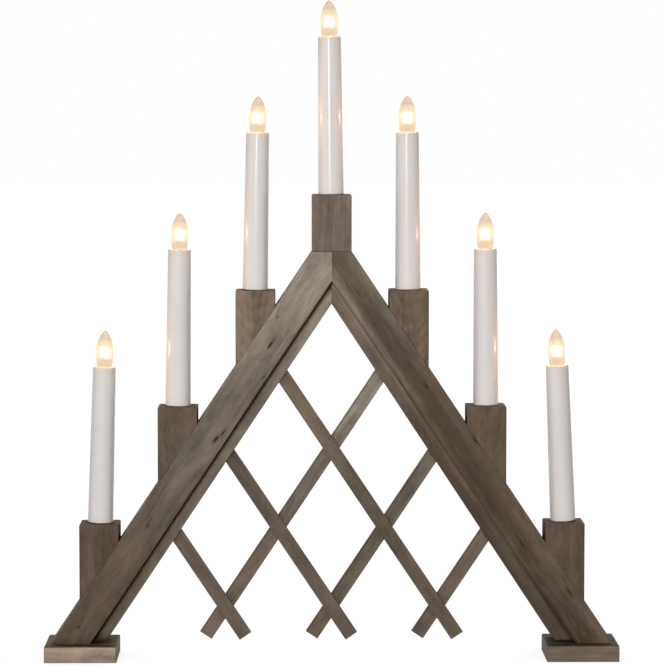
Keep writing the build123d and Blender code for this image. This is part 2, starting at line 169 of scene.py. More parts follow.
def node_group(name, inputs, outputs):
    """A group's graph with its given values and its results. Both are listed as names and kinds."""
    tree = bpy.data.node_groups.new(name, "ShaderNodeTree")
    for way, sockets in (("INPUT", inputs), ("OUTPUT", outputs)):
        for label, kind in sockets.items():
            tree.interface.new_socket(label, in_out=way, socket_type="NodeSocket" + kind)
    given = tree.nodes.new("NodeGroupInput").outputs
    result = tree.nodes.new("NodeGroupOutput").inputs
    return Graph(tree), given, result


def material(name):
    """A new material and the graph of its empty tree."""
    made = bpy.data.materials.new(name)
    made.use_nodes = True
    made.node_tree.nodes.clear()
    return made, Graph(made.node_tree)


def dress(node, made):
    """Give a CAD node its material."""
    slots = NODES[node].data.materials
    slots.clear()
    slots.append(made)


# Noise in the wood: its scale along, through and across the grain, its detail and roughness, how far from its
# middle value it saturates, and how much it changes the tone
WOOD_NOISE = {
    "band": ((4.5, 55.0, 55.0), 2.0, 0.5, 0.2, 0.17),
    "streak": ((9.0, 130.0, 130.0), 3.0, 0.5, 0.2, 0.095),
    "cloud": ((20.0, 44.0, 44.0), 3.0, 0.5, 0.18, 0.15),
    "mottle": ((80.0, 190.0, 190.0), 3.0, 0.6, 0.16, 0.10),
    "fibre": ((70.0, 1500.0, 1500.0), 2.0, 0.5, 0.2, 0.05),
}

# Scales of the noise that shifts, gates or tints other marks
DRIFT_SCALE = (13.0, 42.0, 42.0)
PATCH_SCALE = (40.0, 95.0, 95.0)
PORE_SCALE = (120.0, 1900.0, 1900.0)
RUB_SCALE = (210.0, 760.0, 760.0)
RUB_PATCH_SCALE = (33.0, 70.0, 70.0)
HUE_SCALE = (22.0, 85.0, 85.0)
WORN_SCALE = (60.0, 170.0, 170.0)
KNOT_SCALE = (300.0, 900.0, 900.0)
BAND_SCALE = (45.0, 45.0, 90.0)

# How much other marks in the wood change the tone
LINE_SHADE = -0.16
ARCH_SHADE = 0.14
PORE_SHADE = -0.34
RUB_SHADE = 0.28

# How far the grain drifts sideways
DRIFT = (0.0, 0.016, 0.016)

# Growth lines: their distance apart, where their heart lies and how they are drawn out along the grain, and
# the curve, half the distance and the sway of the arches
LINE_PITCH = 0.0042
HEART_PLACE = (0.0, 0.031, 0.017)
HEART_DRAW = (0.045, 1.0, 1.0)
ARCH_CURVE = -70.0
ARCH_REACH = 0.0062
ARCH_SWAY = 0.012

# Tints of the stain and of its worn edges, the tint of the painted shade in joints and corners, and the
# radius and share of the worn edges
STAIN_TINTS = (0.975, 0.998, 0.972, 1), (1.045, 0.985, 0.955, 1)
WORN_TINT = (1.4, 1.35, 1.28)
WORN_LIFT = (0.012, 0.010, 0.007)
WORN_RADIUS = 0.0013
WORN_SHARE = 0.6
CREASE_SHADE_TINT = (0.13, 0.075, 0.035)
KNOT_COLOUR = (0.016, 0.010, 0.007, 1)

# Gloss of the wood, and how much its marks and its worn edges change it
WOOD_ROUGHNESS = 0.66
WOOD_ROUGHNESS_SWING = 0.05
WORN_ROUGHNESS_SWING = -0.06
WOOD_SPECULAR = 0.2

# Relief of the wood: the height of each mark, and the strength and depth of the whole
STREAK_HEIGHT = 0.45
FIBRE_HEIGHT = 0.3
LINE_HEIGHT = 0.25
PORE_HEIGHT = -0.8
RELIEF_STRENGTH = 0.5
RELIEF_DEPTH = 0.0001


def growth_lines(graph, grain, patch):
    """Late wood: narrow lines in long shells round a heart that lies outside the board."""
    heart = graph.vector("ADD", graph.vector("MULTIPLY", grain, HEART_DRAW), HEART_PLACE)
    turn = graph.math("FRACT", graph.math("MULTIPLY", graph.vector("LENGTH", heart), 1 / LINE_PITCH))
    late = graph.math("MULTIPLY", graph.span(turn, 0.3, 0.9), graph.span(turn, 0.9, 1.0, 1.0, 0.0))
    return graph.math("MULTIPLY", late, graph.span(patch, 0.38, 0.62, 0.1, 1.0))


def growth_arches(graph, where, centred):
    """Growth lines of a flat-sawn face: arches that point along the grain."""
    along, _, across = graph.split(centred)
    bow = graph.math("MULTIPLY_ADD", graph.math("MULTIPLY", across, across), ARCH_CURVE, along)
    swayed = graph.math("MULTIPLY_ADD", graph.noise(where, 30.0), ARCH_SWAY, bow)
    return graph.span(graph.math("PINGPONG", swayed, ARCH_REACH), 0.0008, 0.0052, -1.0, 1.0)


def worn_edges(graph, where):
    """Edges where the stain is rubbed away, in stretches."""
    soft = graph.put("ShaderNodeBevel", {"Radius": WORN_RADIUS}, samples=4).outputs[0]
    straight = graph.put("ShaderNodeNewGeometry").outputs["Normal"]
    edge = graph.math("SUBTRACT", 1.0, graph.vector("DOT_PRODUCT", soft, straight))
    stretches = graph.span(graph.noise(where, WORN_SCALE, 3.0), 0.42, 0.62)
    return graph.math("MULTIPLY", graph.span(edge, 0.004, 0.09), stretches)


def make_wood_group():
    """Planed and stained softwood with its grain along X."""
    graph, given, result = node_group(
        "stained_wood",
        {"Vector": "Vector", "Seed": "Vector", "Color": "Color", "Figure": "Float", "Arches": "Float",
         "Wear": "Float", "Corner": "Float", "Joint Shade": "Float"},
        {"Color": "Color", "Roughness": "Float", "Normal": "Vector"},
    )
    where = graph.vector("ADD", given["Vector"], given["Seed"])
    drift = graph.noise(where, DRIFT_SCALE, coloured=True)
    drift = graph.vector("SUBTRACT", drift, (0.5, 0.5, 0.5))
    grain = graph.vector("ADD", where, graph.vector("MULTIPLY", drift, DRIFT))

    marks = {}
    value = 1.0
    for key, (scale, detail, roughness, reach, share) in WOOD_NOISE.items():
        raw = graph.noise(grain, scale, detail, roughness)
        marks[key] = graph.span(raw, 0.5 - reach, 0.5 + reach, -1.0, 1.0)
        value = graph.math("MULTIPLY_ADD", marks[key], share, value)

    patch = graph.noise(where, PATCH_SCALE)
    late = growth_lines(graph, grain, patch)
    arch = growth_arches(graph, where, graph.vector("SUBTRACT", grain, given["Seed"]))
    value = graph.math("MULTIPLY_ADD", graph.math("MULTIPLY", late, given["Figure"]), LINE_SHADE, value)
    value = graph.math("MULTIPLY_ADD", graph.math("MULTIPLY", arch, given["Arches"]), ARCH_SHADE, value)

    # Short dark pores where the stain has gathered, and small pale rubs
    pore = graph.span(graph.noise(grain, PORE_SCALE, 1.0), 0.66, 0.74)
    pore = graph.math("MULTIPLY", pore, graph.span(patch, 0.45, 0.62))
    rub = graph.span(graph.noise(where, RUB_SCALE), 0.63, 0.72)
    rub = graph.math("MULTIPLY", rub, graph.span(graph.noise(where, RUB_PATCH_SCALE, 1.0), 0.52, 0.66))
    value = graph.math("MULTIPLY_ADD", pore, PORE_SHADE, value)
    value = graph.math("MULTIPLY_ADD", rub, RUB_SHADE, value)

    hue = graph.span(graph.noise(grain, HUE_SCALE, 3.0), 0.36, 0.64)
    stain = graph.mix(1.0, given["Color"], graph.mix(hue, *STAIN_TINTS), "MULTIPLY")
    stain = graph.scale(stain, value)
    edge = graph.math("MULTIPLY", worn_edges(graph, where), given["Wear"])
    worn = graph.vector("MULTIPLY_ADD", stain, WORN_TINT, WORN_LIFT)
    stain = graph.mix(graph.math("MULTIPLY", edge, WORN_SHARE), stain, worn)

    # Painted shade: darker where ambient occlusion finds joints and corners close by
    corner = graph.put("ShaderNodeAmbientOcclusion", {"Distance": given["Corner"]}, samples=6).outputs["AO"]
    joint = graph.math("MULTIPLY", graph.span(corner, 0.5, 0.97, 0.97, 0.0), given["Joint Shade"])
    stain = graph.mix(joint, stain, graph.vector("MULTIPLY", stain, CREASE_SHADE_TINT))
    graph.feed(result["Color"], stain)

    rough = WOOD_ROUGHNESS
    for mark in (marks["fibre"], marks["cloud"]):
        rough = graph.math("MULTIPLY_ADD", mark, WOOD_ROUGHNESS_SWING, rough)
    graph.feed(result["Roughness"], graph.math("MULTIPLY_ADD", edge, WORN_ROUGHNESS_SWING, rough))
    height = graph.math("MULTIPLY", marks["streak"], STREAK_HEIGHT)
    for mark, share in ((marks["fibre"], FIBRE_HEIGHT), (late, LINE_HEIGHT), (pore, PORE_HEIGHT)):
        height = graph.math("MULTIPLY_ADD", mark, share, height)
    graph.feed(result["Normal"], graph.bump(height, RELIEF_STRENGTH, RELIEF_DEPTH))
    return graph.tree


def make_knot_group():
    """A small dark knot or crack with a faint ring, long along the grain."""
    graph, given, result = node_group(
        "knot",
        {"Color": "Color", "Vector": "Vector", "Centre": "Vector", "Reach": "Vector", "Dark": "Float"},
        {"Color": "Color"},
    )
    away = graph.vector("SUBTRACT", given["Vector"], given["Centre"])
    away = graph.vector("LENGTH", graph.vector("DIVIDE", away, given["Reach"]))
    ragged = graph.noise(given["Vector"], KNOT_SCALE, 3.0)
    away = graph.math("ADD", away, graph.math("MULTIPLY_ADD", ragged, 1.2, -0.6))
    spot = graph.span(away, 0.6, 1.3, 1.0, 0.0)
    ring = graph.span(away, 0.8, 2.6, 0.35, 0.0)
    shade = graph.math("MULTIPLY", graph.math("MAXIMUM", spot, ring), given["Dark"])
    graph.feed(result["Color"], graph.mix(shade, given["Color"], KNOT_COLOUR))
    return graph.tree


WOOD = make_wood_group()
KNOT = make_knot_group()

# A knot or crack in a front face: its place, its reach along and across the grain, and its darkness
Knot = namedtuple("Knot", "x z along across dark")
KNOT_Y = -0.017
KNOT_DEPTH = 0.004

# A darker or paler band along the grain: its place across the board, its tilt, half width and sway, the
# heights between which it lies, and its tint
Band = namedtuple("Band", "centre tilt half sway low high tint")

# How a band fades: from and to which share of its half width, and over what height at its ends
BAND_CORE = 0.35
BAND_SKIRT = 1.3
BAND_LOW_FADE = 0.03
BAND_HIGH_FADE = 0.06

# The dark hem of a block: where it is darkest and where it ends above the underside, its share and tint
HEM_LOW = 0.0005
HEM_HIGH = 0.0015
HEM_SHARE = 0.75
HEM_TINT = (0.4, 0.34, 0.29, 1)

# Painted shade on the feet: where their upward face starts to darken towards the front and is darkest,
# and its tints there and on the face towards the other foot
FOOT_SHADE_BACK = -0.0165
FOOT_SHADE_FRONT = -0.0235
FOOT_SHADE_FRONT_TINT = (0.42, 0.36, 0.3, 1)
FOOT_SHADE_INNER_TINT = (0.4, 0.36, 0.34, 1)


def add_band(graph, tone, vector, height, band):
    """The tone with a band on the front face."""
    along, _, across = graph.split(vector)
    wave = graph.noise(vector, BAND_SCALE, 3.0)
    wave = graph.math("MULTIPLY_ADD", wave, band.sway, -band.centre - band.sway / 2)
    away = graph.math("ADD", graph.math("MULTIPLY_ADD", along, -band.tilt, across), wave)
    away = graph.math("ABSOLUTE", away)
    share = graph.span(away, band.half * BAND_CORE, band.half * BAND_SKIRT, 1.0, 0.0)
    begin = graph.span(height, band.low, band.low + BAND_LOW_FADE)
    finish = graph.span(height, band.high - BAND_HIGH_FADE, band.high, 1.0, 0.0)
    share = graph.math("MULTIPLY", graph.math("MULTIPLY", share, begin), finish)
    facing = graph.split(graph.put("ShaderNodeTexCoord").outputs["Normal"])
    share = graph.math("MULTIPLY", share, graph.span(facing[1], -0.8, -0.4, 1.0, 0.0))
    return graph.mix(share, tone, graph.vector("MULTIPLY", tone, band.tint))


def add_hem(graph, tone, height, bottom):
    """The tone with dark stain in the joint under a block."""
    share = graph.span(height, bottom + HEM_LOW, bottom + HEM_HIGH, HEM_SHARE, 0.0)
    return graph.mix(share, tone, HEM_TINT, "MULTIPLY")


def add_foot_shade(graph, tone, vector, top_shade, inward):
    """The tone with painted shade on the upward face, darkest at its front, and on the face towards the other
    foot.

    The second result is how far a face points up.
    """
    sideways, _, up = graph.split(graph.put("ShaderNodeTexCoord").outputs["Normal"])
    upward = graph.span(up, 0.3, 0.9)
    tone = graph.mix(upward, tone, (top_shade, top_shade * 1.07, top_shade * 0.92, 1), "MULTIPLY")
    front = graph.span(graph.split(vector)[1], FOOT_SHADE_FRONT, FOOT_SHADE_BACK, 1.0, 0.0)
    tone = graph.mix(graph.math("MULTIPLY", upward, front), tone, FOOT_SHADE_FRONT_TINT, "MULTIPLY")
    inner = graph.span(graph.math("MULTIPLY", sideways, inward), 0.4, 0.9)
    return graph.mix(inner, tone, FOOT_SHADE_INNER_TINT, "MULTIPLY"), upward


def wood(name, turn, seed, tones, knots=(), bands=(), figure=1.0, arches=0.0, middle=0.0, wear=1.0,
         top_shade=None, inward=0, hem=None, joint=1.0, corner=0.008):
    """A wood material.

    tones: pairs of a height and the stain's colour there, from low to high
    figure, arches, wear, joint: how strong the growth lines, arches, worn edges and the painted shade in
    joints and corners are
    middle: the place across the grain where the arches have their peaks
    corner: how far the painted shade in joints and corners reaches
    hem: the height of a block's underside, if that has a dark hem
    top_shade, inward: the tint of the painted shade on a foot's upward face, and which way and how strongly
    its inner face is darkened with painted shade
    """
    made, graph = material(name)
    vector = graph.coordinates(turn=turn)
    height = graph.split(graph.put("ShaderNodeTexCoord").outputs["Object"])[2]
    tone = tones[0][1]
    for (low, _), (high, shade) in zip(tones, tones[1:]):
        tone = graph.mix(graph.span(height, low, high), tone, shade)
    for band in bands:
        tone = add_band(graph, tone, vector, height, band)
    if hem is not None:
        tone = add_hem(graph, tone, height, hem)
    if top_shade is not None:
        # The feet have the painted shade of joints and corners only on their upward face
        tone, joint = add_foot_shade(graph, tone, vector, top_shade, inward)
    stained = graph.put("ShaderNodeGroup", {
        "Vector": graph.vector("SUBTRACT", vector, (0.0, 0.0, middle)), "Seed": seed, "Color": tone,
        "Figure": figure, "Arches": arches, "Wear": wear, "Corner": corner, "Joint Shade": joint,
    }, node_tree=WOOD).outputs

    surface = stained["Color"]
    unturn = Euler(turn).to_matrix().inverted()
    for knot in knots:
        surface = graph.put("ShaderNodeGroup", {
            "Color": surface, "Vector": vector, "Centre": unturn @ Vector((knot.x, KNOT_Y, knot.z)),
            "Reach": (knot.along, KNOT_DEPTH, knot.across), "Dark": knot.dark,
        }, node_tree=KNOT).outputs[0]
    graph.surface(graph.principled(
        Base_Color=surface, Roughness=stained["Roughness"], Normal=stained["Normal"],
        Specular_IOR_Level=WOOD_SPECULAR))
    return made


def stain_steps(*rows):
    """The tones of a wood from rows of a height and the stain's screen values there."""
    return [(height, colour(r, g, b)) for height, r, g, b in rows]


# Turns that lay X along the grain
ALONG_LEFT = (0, -SLOPE, 0)
ALONG_RIGHT = (0, SLOPE, 0)
UPRIGHT = (0, -pi / 2, 0)
LEVEL = (0, 0, 0)

# Stain of the boards and strips at three heights, from the foot to the peak
LEFT_FRONT = stain_steps((0.05, 94, 82, 70), (0.23, 121, 112, 103), (0.33, 157, 146, 135))
LEFT_REAR = stain_steps((0.05, 113, 102, 90), (0.2, 127, 118, 107), (0.28, 149, 140, 129))
RIGHT_FRONT = stain_steps((0.05, 110, 97, 83), (0.2, 87, 76, 64), (0.33, 119, 109, 98))
RIGHT_REAR = stain_steps((0.05, 85, 75, 64), (0.16, 80, 69, 58), (0.29, 117, 104, 92))
LONG_STRIP = stain_steps((0.085, 98, 87, 75), (0.156, 104, 94, 84), (0.227, 121, 107, 93))
FORWARD_STRIPS = stain_steps((0.085, 107, 96, 86), (0.156, 104, 94, 84), (0.227, 121, 107, 93))
BACK_STRIPS = stain_steps((0.098, 113, 102, 90), (0.138, 112, 102, 94), (0.231, 158, 147, 135))

# Stain of the blocks, the feet and the dowels, and how clear the arches of a block's growth lines are
BLOCKS = {
    "left_low": (92, 79, 67), "left_mid": (97, 84, 72), "left_high": (127, 112, 97), "centre": (120, 108, 99),
    "right_high": (113, 98, 83), "right_mid": (98, 84, 71), "right_low": (91, 79, 67),
}
FEET = {"left": (162, 146, 130), "right": (117, 104, 91)}
DOWELS = (190, 165, 125)
ARCHES = {"left_high": 0.45, "right_high": 0.5, "left_mid": 0.3, "right_mid": 0.4}

LEFT_KNOTS = (
    Knot(-0.0527, 0.2715, 0.0040, 0.0010, 0.95),
    Knot(-0.0495, 0.2765, 0.0024, 0.0006, 0.55),
    Knot(-0.0464, 0.2957, 0.0012, 0.0009, 0.6),
    Knot(-0.0582, 0.2440, 0.0018, 0.0008, 0.45),
    Knot(-0.0990, 0.1907, 0.0038, 0.0013, 0.95),
    Knot(-0.0930, 0.1965, 0.0034, 0.0010, 0.85),
    Knot(-0.1577, 0.1162, 0.0016, 0.0010, 0.85),
    Knot(-0.1553, 0.1205, 0.0042, 0.0006, 0.45),
    Knot(-0.2175, 0.0289, 0.0017, 0.0010, 0.75),
    Knot(-0.2145, 0.0350, 0.0030, 0.0006, 0.4),
)
RIGHT_KNOTS = (
    Knot(0.0807, 0.2362, 0.0026, 0.0010, 0.8),
    Knot(0.0677, 0.2536, 0.0085, 0.0012, 0.25),
    Knot(0.1228, 0.1899, 0.0036, 0.0009, 0.8),
    Knot(0.1221, 0.1456, 0.0030, 0.0006, 0.6),
    Knot(0.1633, 0.1005, 0.0044, 0.0010, 0.75),
    Knot(0.1582, 0.1081, 0.0034, 0.0007, 0.5),
    Knot(0.2045, 0.0579, 0.0040, 0.0009, 0.85),
    Knot(0.2000, 0.0688, 0.0050, 0.0006, 0.5),
)

# Heights below and above the whole arch, for a band that runs from end to end
BELOW = -0.1
ABOVE = 0.5

# The right boards are dark in their middle, with a pale rim and darker bands along their joint
RIGHT_FRONT_BANDS = (
    Band(0.1932, -0.0065, 0.0076, 0.010, BELOW, ABOVE, (0.64, 0.60, 0.58)),
    Band(0.1845, 0.0, 0.0028, 0.003, 0.18, 0.34, (1.42, 1.39, 1.35)),
    Band(0.1845, 0.0, 0.0052, 0.003, BELOW, 0.22, (0.74, 0.71, 0.69)),
    Band(0.1825, 0.0, 0.0030, 0.002, BELOW, 0.10, (0.5, 0.42, 0.35)),
)
RIGHT_REAR_BANDS = (
    Band(0.1783, -0.006, 0.0021, 0.0016, 0.12, ABOVE, (1.34, 1.32, 1.3)),
    Band(0.1776, -0.008, 0.0021, 0.0016, BELOW, 0.2, (1.13, 1.13, 1.13)),
    Band(0.1818, 0.0, 0.0012, 0.0010, 0.18, ABOVE, (0.7, 0.62, 0.54)),
    Band(0.1812, 0.0, 0.0018, 0.0012, BELOW, 0.10, (0.6, 0.5, 0.42)),
)


def across_left(node):
    """How far across the left slope each corner of a node lies."""
    across = Vector((-sin(SLOPE), 0, cos(SLOPE)))
    return [(NODES[node].matrix_world @ v.co).dot(across) for v in NODES[node].data.vertices]


def dress_rafters():
    """The boards. Painted shade and shadow lie on both sides of the left joint, along the front board's lower
    edge.
    """
    edge = min(across_left("left_front_rafter"))
    # Painted shade on the front board's face at its lower edge, and the painted shadow that board casts on
    # the rear board beside it
    front_shade_band = Band(edge, 0.0, 0.0009, 0.0, 0.2, ABOVE, (0.45, 0.34, 0.25))
    rear_shadow_band = Band(edge, 0.0, 0.0034, 0.001, BELOW, ABOVE, (0.83, 0.79, 0.74))
    dress("left_front_rafter", wood(
        "left_front_rafter_wood", ALONG_LEFT, (0.0, 0.31, 0.12), LEFT_FRONT, knots=LEFT_KNOTS,
        bands=(front_shade_band,), joint=0.4))
    dress("left_rear_rafter", wood(
        "left_rear_rafter_wood", ALONG_LEFT, (1.7, 2.01, 0.12), LEFT_REAR, bands=(rear_shadow_band,)))
    dress("right_front_rafter", wood(
        "right_front_rafter_wood", ALONG_RIGHT, (3.1, 0.53, 0.71), RIGHT_FRONT, knots=RIGHT_KNOTS,
        bands=RIGHT_FRONT_BANDS, wear=1.5, joint=0.0))
    dress("right_rear_rafter", wood(
        "right_rear_rafter_wood", ALONG_RIGHT, (4.8, 0.53, 0.71), RIGHT_REAR, bands=RIGHT_REAR_BANDS,
        joint=0.0))


def dress_blocks():
    """The blocks. The centre one has a dark hem, and those on the right have less painted shade in their
    joints.
    """
    for index, name in enumerate(CANDLES):
        low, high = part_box(f"candle_block_{name}")
        dress(f"candle_block_{name}", wood(
            f"candle_block_{name}_wood", UPRIGHT, (0.37 * index, 0.21 * index, 0.43 * index),
            stain_steps((0, *BLOCKS[name])), arches=ARCHES.get(name, 0), middle=-(low[0] + high[0]) / 2,
            hem=low[2] if name == "centre" else None, joint=0.5 if low[0] > 0 else 1.0))


def dress_lattice():
    """The strips, with a little painted shade in their joints. Those from the right leg, behind the others,
    have painted shade along their upper edge.
    """
    for row, rank in enumerate(("long", "middle", "short")):
        tones = LONG_STRIP if rank == "long" else FORWARD_STRIPS
        dress(f"lattice_strip_left_{rank}", wood(
            f"lattice_strip_left_{rank}_wood", ALONG_RIGHT, (5.3 + row, 0.7 * row, 2.0), tones,
            figure=0.6, joint=0.25))
        edge = max(across_left(f"lattice_strip_right_{rank}"))
        # Painted shade along the upper edge, where the side face of the strip is in shade
        shaded_edge_band = Band(edge, 0.0, 0.0015, 0.0, BELOW, ABOVE, (0.62, 0.58, 0.54))
        dress(f"lattice_strip_right_{rank}", wood(
            f"lattice_strip_right_{rank}_wood", ALONG_LEFT, (5.3 + row, 0.7 * row, 3.0), BACK_STRIPS,
            figure=0.6, bands=(shaded_edge_band,), joint=0.25))


def dress_feet():
    """The feet, with painted shade on their upward and inner faces. The left one has a paler stain and more
    painted shade.
    """
    for side, top_shade, inward in (("left", 0.5, 1), ("right", 0.62, -0.75)):
        dress(f"{side}_foot", wood(
            f"{side}_foot_wood", LEVEL, (0.9, 0.4, 0.6), stain_steps((0, *FEET[side])), top_shade=top_shade,
            inward=inward, corner=0.022))


dress_rafters()
dress_blocks()
dress_lattice()
dress_feet()
dress("block_dowels", wood("dowel_wood", UPRIGHT, (7.0, 0, 0), stain_steps((0, *DOWELS))))

# Plastic of the tubes: how far below its mouth and how strongly the lamp's warm light is painted on it,
# and the rim with painted lamplight and a faint painted glow
WARM_REACH = 0.022
WARM_SHARE = 0.35
RIM_LOW = TUBE_HEIGHT - 0.0026
RIM_HIGH = TUBE_HEIGHT - 0.0004
PLASTIC_TONES = colour(225, 221, 219), colour(230, 226, 224)
LAMPLIT_PLASTIC = colour(234, 218, 206)
LAMPLIT_RIM = colour(240, 222, 190)
RIM_GLOW = colour(255, 226, 175)
RIM_STRENGTH = 0.08
PLASTIC_ROUGHNESS = 0.2


def candle_frame(name):
    """Matrix from a candle's own frame, Z up its axis from its foot, to the arch's frame."""
    for joint in frame["record"]["behaviour"]["joints"]:
        if joint["name"] == f"bulb_{name}_turn":
            axis = Vector(joint["axis"])
            foot = Vector(joint["pos_m"]) - axis * HOLDER_TOP
            side = Vector((axis.z, 0, -axis.x))
            turned = Matrix((side, axis.cross(side), axis)).transposed().to_4x4()
            return Matrix.Translation(foot) @ turned
    raise ValueError(name)


def tube_plastic(name, place):
    """Glossy white plastic with the lamp's warm light painted below its mouth and on its rim, which has a
    faint painted glow too.
    """
    made, graph = material(f"candle_tube_{name}_plastic")
    vector = graph.coordinates(place.translation, place.to_euler())
    height = graph.split(vector)[2]
    cloud = graph.noise(vector, (60.0, 60.0, 18.0), 3.0)
    surface = graph.mix(graph.span(cloud, 0.3, 0.7), *PLASTIC_TONES)
    # Painted warm light of the lamp below the mouth
    warm = graph.span(height, TUBE_HEIGHT - WARM_REACH, TUBE_HEIGHT, 0.0, WARM_SHARE)
    surface = graph.mix(warm, surface, LAMPLIT_PLASTIC)
    # Painted lamplight and a faint painted glow on the rim
    rim = graph.span(height, RIM_LOW, RIM_HIGH)
    surface = graph.mix(graph.math("MULTIPLY", rim, 0.8), surface, LAMPLIT_RIM)
    fine = graph.noise(vector, (500.0, 500.0, 120.0))
    graph.surface(graph.principled(
        Base_Color=surface, Roughness=graph.math("MULTIPLY_ADD", fine, 0.06, PLASTIC_ROUGHNESS),
        Specular_IOR_Level=0.5, Emission_Color=RIM_GLOW,
        Emission_Strength=graph.math("MULTIPLY", rim, RIM_STRENGTH), Normal=graph.bump(cloud, 0.08, 0.0003)))
    return made


def metal(name, pale, dark, rough):
    """Metal with fine marks and a duller film in patches."""
    made, graph = material(name)
    vector = graph.coordinates()
    film = graph.span(graph.noise(vector, 260.0, 3.0), 0.35, 0.65)
    marks = graph.noise(vector, (700.0, 700.0, 2100.0))
    graph.surface(graph.principled(
        Base_Color=graph.mix(film, pale, dark), Metallic=1.0,
        Roughness=graph.math("MULTIPLY_ADD", marks, 0.18, rough), Normal=graph.bump(marks, 0.1, 0.00005)))
    return made


def dull(name, dark, pale, rough):
    """Rubber or insulation with a faint mottle."""
    made, graph = material(name)
    mottle = graph.noise(graph.coordinates(), 420.0, 3.0)
    graph.surface(graph.principled(
        Base_Color=graph.mix(mottle, dark, pale), Roughness=graph.math("MULTIPLY_ADD", mottle, 0.15, rough),
        Normal=graph.bump(mottle, 0.15, 0.0001)))
    return made


BRASS = metal("brass", (0.72, 0.53, 0.22, 1), (0.55, 0.38, 0.15, 1), 0.2)
ZINC = metal("zinc_steel", (0.62, 0.62, 0.6, 1), (0.42, 0.42, 0.41, 1), 0.3)
SOLDER = metal("solder", (0.55, 0.55, 0.56, 1), (0.38, 0.38, 0.39, 1), 0.35)
WIRE = metal("lead_wire", (0.66, 0.6, 0.52, 1), (0.45, 0.38, 0.3, 1), 0.3)
dress("foot_screws", ZINC)
dress("lattice_pins", ZINC)
dress("lampholder_contacts", BRASS)
dress("wiring_loom", dull("wire_sleeve", (0.012, 0.011, 0.01, 1), (0.0232, 0.0216, 0.02, 1), 0.45))
dress("cord_grommet", dull("grommet_rubber", (0.01, 0.01, 0.01, 1), (0.02, 0.02, 0.02, 1), 0.6))

# Colours of the lit glass: its stem and the wall beside it, the white-hot cage and the wall beside that, the
# shoulder, and the tip in two tones
STEM_GLOW = colour(241, 215, 163)
NECK_GLOW = colour(236, 213, 190)
CAGE_GLOW = colour(255, 254, 246)
BELLY_GLOW = colour(244, 231, 196)
SHOULDER_GLOW = colour(243, 227, 190)
TIP_GLOWS = colour(238, 214, 176), colour(220, 194, 188)

# Tints of the clear glass at its ends and in its middle
END_TINT = colour(250, 240, 226)
MIDDLE_TINT = colour(255, 252, 238)

# Share of rough glass in the clear glass, and of light in both
HAZE_SHARE = 0.26
LIT_SHARE = 0.55

# Heights above a tube's mouth over which one zone of the glass passes into the next, and how much they waver
NECK_TO_BELLY = (0.0055, 0.0078)
BELLY_TO_SHOULDER = (0.0158, 0.0188)
SHOULDER_TO_TIP = (0.0195, 0.0245)
END_TO_MIDDLE = (0.003, 0.008)
MIDDLE_TO_END = (0.015, 0.021)
WAVER = 0.008

# Roughness of the clear and of the rough glass, and their index of refraction
GLASS_ROUGHNESS = (0.02, 0.46)
GLASS_INDEX = 1.45


def lit_glow(graph, vector, level):
    """What the lit glass shows from its neck up to its tip."""
    facing = graph.put("ShaderNodeLayerWeight", {"Blend": 0.5}).outputs["Facing"]
    neck = graph.mix(graph.span(facing, 0.01, 0.06), STEM_GLOW, NECK_GLOW)
    belly = graph.mix(graph.span(facing, 0.07, 0.24), CAGE_GLOW, BELLY_GLOW)
    patch = graph.noise(vector, (230.0, 230.0, 110.0))
    tip = graph.mix(graph.span(patch, 0.42, 0.58), *TIP_GLOWS)
    shine = graph.mix(graph.span(level, *NECK_TO_BELLY), neck, belly)
    shine = graph.mix(graph.span(level, *BELLY_TO_SHOULDER), shine, SHOULDER_GLOW)
    return graph.mix(graph.span(level, *SHOULDER_TO_TIP), shine, tip)


def bulb_glass(name, place):
    """Clear glass that the lamp inside lights up. It casts no shadow."""
    made, graph = material(f"bulb_glass_{name}")
    vector = graph.coordinates(place.translation, place.to_euler())
    height = graph.math("SUBTRACT", graph.split(vector)[2], TUBE_HEIGHT)
    wave = graph.math("MULTIPLY_ADD", graph.noise(vector, 150.0), WAVER, -WAVER / 2)
    level = graph.math("ADD", height, wave)
    tint = graph.mix(graph.span(level, *END_TO_MIDDLE), END_TINT, MIDDLE_TINT)
    tint = graph.mix(graph.span(level, *MIDDLE_TO_END), tint, END_TINT)
    glass, haze = [
        graph.principled(Base_Color=tint, Roughness=rough, IOR=GLASS_INDEX, Transmission_Weight=1.0)
        for rough in GLASS_ROUGHNESS]
    glow = lit_glow(graph, vector, level)
    lit = graph.put("ShaderNodeEmission", {"Color": glow, "Strength": 1.0}).outputs[0]
    body = graph.mix_shader(LIT_SHARE, graph.mix_shader(HAZE_SHARE, glass, haze), lit)
    clear = graph.put("ShaderNodeBsdfTransparent").outputs[0]
    shadow = graph.put("ShaderNodeLightPath").outputs["Is Shadow Ray"]
    graph.surface(graph.mix_shader(shadow, body, clear))
    made.cycles.emission_sampling = "NONE"
    return made


def hot_metal(name, pale, dark, strength):
    """Glowing metal, a little cooler in patches."""
    made, graph = material(name)
    heat = graph.mix(graph.noise(graph.coordinates(), 900.0), pale, dark)
    graph.surface(graph.put("ShaderNodeEmission", {"Color": heat, "Strength": strength}).outputs[0])
    made.cycles.emission_sampling = "NONE"
    return made


FILAMENT = hot_metal("glowing_filament", (1.0, 0.95, 0.82, 1), (1.0, 0.9, 0.7, 1), 16.0)

# Cap: a thread of 14 turns to the inch, with its mean radius, between the taper at its foot and the flange
CAP_SIDES = 48
THREAD_PITCH = 25.4 / 14 / 1000
THREAD_LOW = 0.1217
THREAD_HIGH = 0.1299
THREAD_RADIUS = 0.00454
THREAD_SWING = 0.0002
THREAD_ROWS = 84
THREAD_END_ROWS = 8

